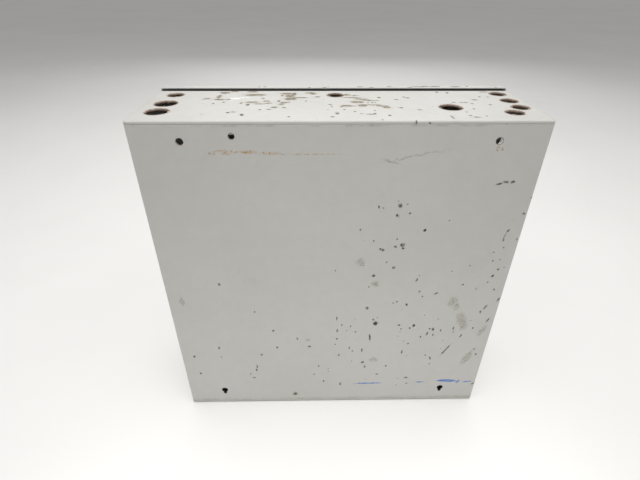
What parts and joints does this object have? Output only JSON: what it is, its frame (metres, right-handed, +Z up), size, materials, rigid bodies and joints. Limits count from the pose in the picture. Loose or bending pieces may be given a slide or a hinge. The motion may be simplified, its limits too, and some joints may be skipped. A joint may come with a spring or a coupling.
{
  "type": "residential load center",
  "caption": "Surface-mount sheet-steel load center with a hinged door, dead front, main breaker, branch breakers, bus, neutral bars and punched conduit openings.",
  "frame": {"origin": "centre of the back's outer face", "axes": "+Z up, +Y out of the back towards the wall, door and cover face -Y, +X to the right of someone who looks at the door"},
  "size_m": [0.365, 0.127, 0.369],
  "materials": {
    "box_paint": "satin",
    "cover_paint": "satin",
    "zinc_steel": "satin",
    "latch_plastic": "satin",
    "gasket_foam": "matte",
    "card": "matte",
    "insulator_plastic": "matte",
    "bus_metal": "satin",
    "copper_clip": "satin",
    "green_screw": "gloss",
    "breaker_case": "satin",
    "toggle_plastic": "satin"
  },
  "bodies": {
    "enclosure": {"bonding_screw": "green_screw", "bottom_end_wall": "box_paint", "breaker_left_double_case": "breaker_case", "breaker_left_single_a_case": "breaker_case", "breaker_left_single_b_case": "breaker_case", "breaker_line_clips": "copper_clip", "breaker_rail_left": "zinc_steel", "breaker_rail_right": "zinc_steel", "breaker_right_double_case": "breaker_case", "breaker_right_single_a_case": "breaker_case", "breaker_right_single_b_case": "breaker_case", "breaker_right_single_c_case": "breaker_case", "breaker_terminal_screws": "zinc_steel", "bus_bar_a": "bus_metal", "bus_bar_b": "bus_metal", "bus_insulator": "insulator_plastic", "bus_screws": "zinc_steel", "cover_gasket": "gasket_foam", "cover_screws": "zinc_steel", "cover_standoffs": "zinc_steel", "cover_trim": "cover_paint", "dead_front": "cover_paint", "enclosure_wrap": "box_paint", "frame_hinge_leaves": "cover_paint", "ground_bar": "bus_metal", "hinge_pins": "zinc_steel", "interior_pan": "zinc_steel", "main_breaker_base": "breaker_case", "main_breaker_cover": "breaker_case", "main_case_rivets": "zinc_steel", "main_line_lugs": "bus_metal", "main_lug_screws": "zinc_steel", "neutral_bar_left": "bus_metal", "neutral_bar_right": "bus_metal", "neutral_cross_strap": "bus_metal", "neutral_insulators": "insulator_plastic", "neutral_lug": "bus_metal", "neutral_lug_screw": "zinc_steel", "pan_nuts": "zinc_steel", "pan_studs": "zinc_steel", "terminal_bar_screws": "zinc_steel", "top_end_wall": "box_paint", "twistouts": "cover_paint"},
    "door": {"door": "cover_paint", "door_hinge_leaves": "cover_paint", "latch_bezel": "latch_plastic", "directory_card": "card"},
    "latch": {"latch_slider": "latch_plastic", "latch_spring": "zinc_steel"},
    "main_handle": {"main_breaker_handle": "toggle_plastic"},
    "left_double_toggle": {"breaker_left_double_toggle": "toggle_plastic"},
    "left_single_a_toggle": {"breaker_left_single_a_toggle": "toggle_plastic"},
    "left_single_b_toggle": {"breaker_left_single_b_toggle": "toggle_plastic"},
    "right_double_toggle": {"breaker_right_double_toggle": "toggle_plastic"},
    "right_single_a_toggle": {"breaker_right_single_a_toggle": "toggle_plastic"},
    "right_single_b_toggle": {"breaker_right_single_b_toggle": "toggle_plastic"},
    "right_single_c_toggle": {"breaker_right_single_c_toggle": "toggle_plastic"}
  },
  "joints": [
    {"name": "door_hinge", "type": "hinge", "parent": "enclosure", "child": "door", "pos_m": [0.0974, -0.1246, 0], "axis": [0, 0, 1], "range_deg": [0, 150]},
    {"name": "latch_slide", "type": "slide", "parent": "door", "child": "latch", "axis": [1, 0, 0], "range_m": [0, 0.006], "stiffness_N_per_m": 200, "springref_m": -0.008, "deforming": ["latch_spring"]},
    {"name": "main_handle_swing", "type": "hinge", "parent": "enclosure", "child": "main_handle", "pos_m": [0, -0.093, 0.087], "axis": [-1, 0, 0], "range_deg": [0, 36]},
    {"name": "left_double_swing", "type": "hinge", "parent": "enclosure", "child": "left_double_toggle", "pos_m": [0.033, -0.094, 0.0293], "axis": [0, 0, -1], "range_deg": [0, 40]},
    {"name": "left_single_a_swing", "type": "hinge", "parent": "enclosure", "child": "left_single_a_toggle", "pos_m": [0.033, -0.094, -0.0215], "axis": [0, 0, -1], "range_deg": [0, 40]},
    {"name": "left_single_b_swing", "type": "hinge", "parent": "enclosure", "child": "left_single_b_toggle", "pos_m": [0.033, -0.094, -0.0469], "axis": [0, 0, -1], "range_deg": [0, 40]},
    {"name": "right_double_swing", "type": "hinge", "parent": "enclosure", "child": "right_double_toggle", "pos_m": [-0.033, -0.094, 0.0293], "axis": [0, 0, 1], "range_deg": [0, 40]},
    {"name": "right_single_a_swing", "type": "hinge", "parent": "enclosure", "child": "right_single_a_toggle", "pos_m": [-0.033, -0.094, -0.0215], "axis": [0, 0, 1], "range_deg": [0, 40]},
    {"name": "right_single_b_swing", "type": "hinge", "parent": "enclosure", "child": "right_single_b_toggle", "pos_m": [-0.033, -0.094, -0.0469], "axis": [0, 0, 1], "range_deg": [0, 40]},
    {"name": "right_single_c_swing", "type": "hinge", "parent": "enclosure", "child": "right_single_c_toggle", "pos_m": [-0.033, -0.094, -0.0723], "axis": [0, 0, 1], "range_deg": [0, 40]}
  ]
}
